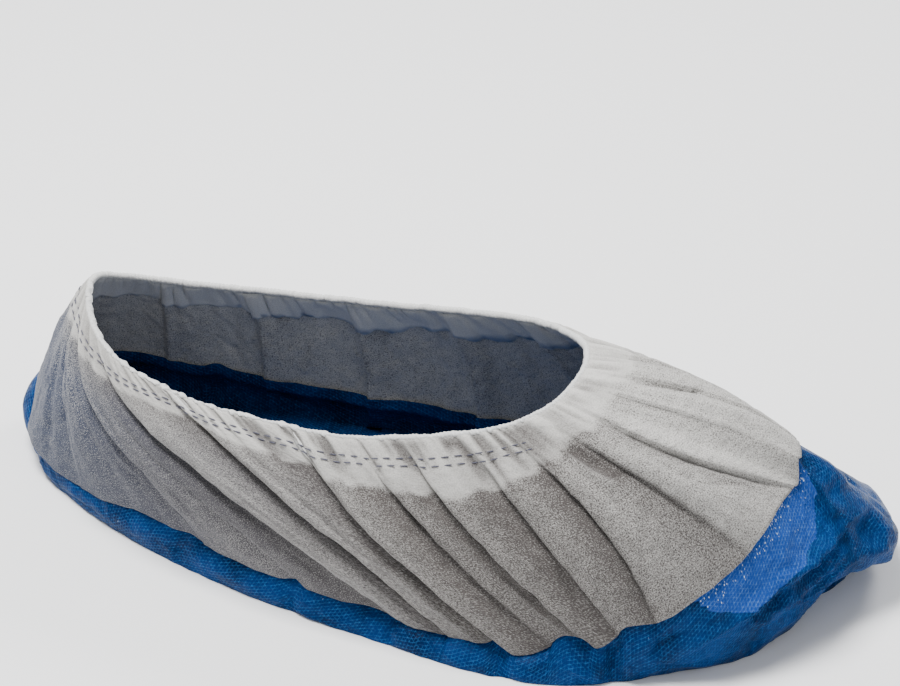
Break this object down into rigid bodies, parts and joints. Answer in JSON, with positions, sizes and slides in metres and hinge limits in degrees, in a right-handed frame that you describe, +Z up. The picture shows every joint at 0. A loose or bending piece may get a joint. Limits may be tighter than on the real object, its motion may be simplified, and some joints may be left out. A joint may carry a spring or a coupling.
{
  "type": "plastic overshoe",
  "caption": "Disposable overshoe in its worn form: gathered white nonwoven upper with an elastic hem, on a baggy blue film sole.",
  "frame": {"origin": "middle of the overshoe's footprint, on the surface it stands on", "axes": "+X towards the toe, -Y towards the outer side of a right foot, +Z up"},
  "size_m": [0.3562, 0.1398, 0.0918],
  "materials": {
    "nonwoven": "white point-bonded spunbond polypropylene",
    "hem": "white nonwoven, double, gathered by elastic",
    "film": "blue embossed polyethylene film"
  },
  "bodies": {
    "root": {"upper": "nonwoven", "elastic_hem": "hem", "sole_film": "film"}
  },
  "joints": []
}
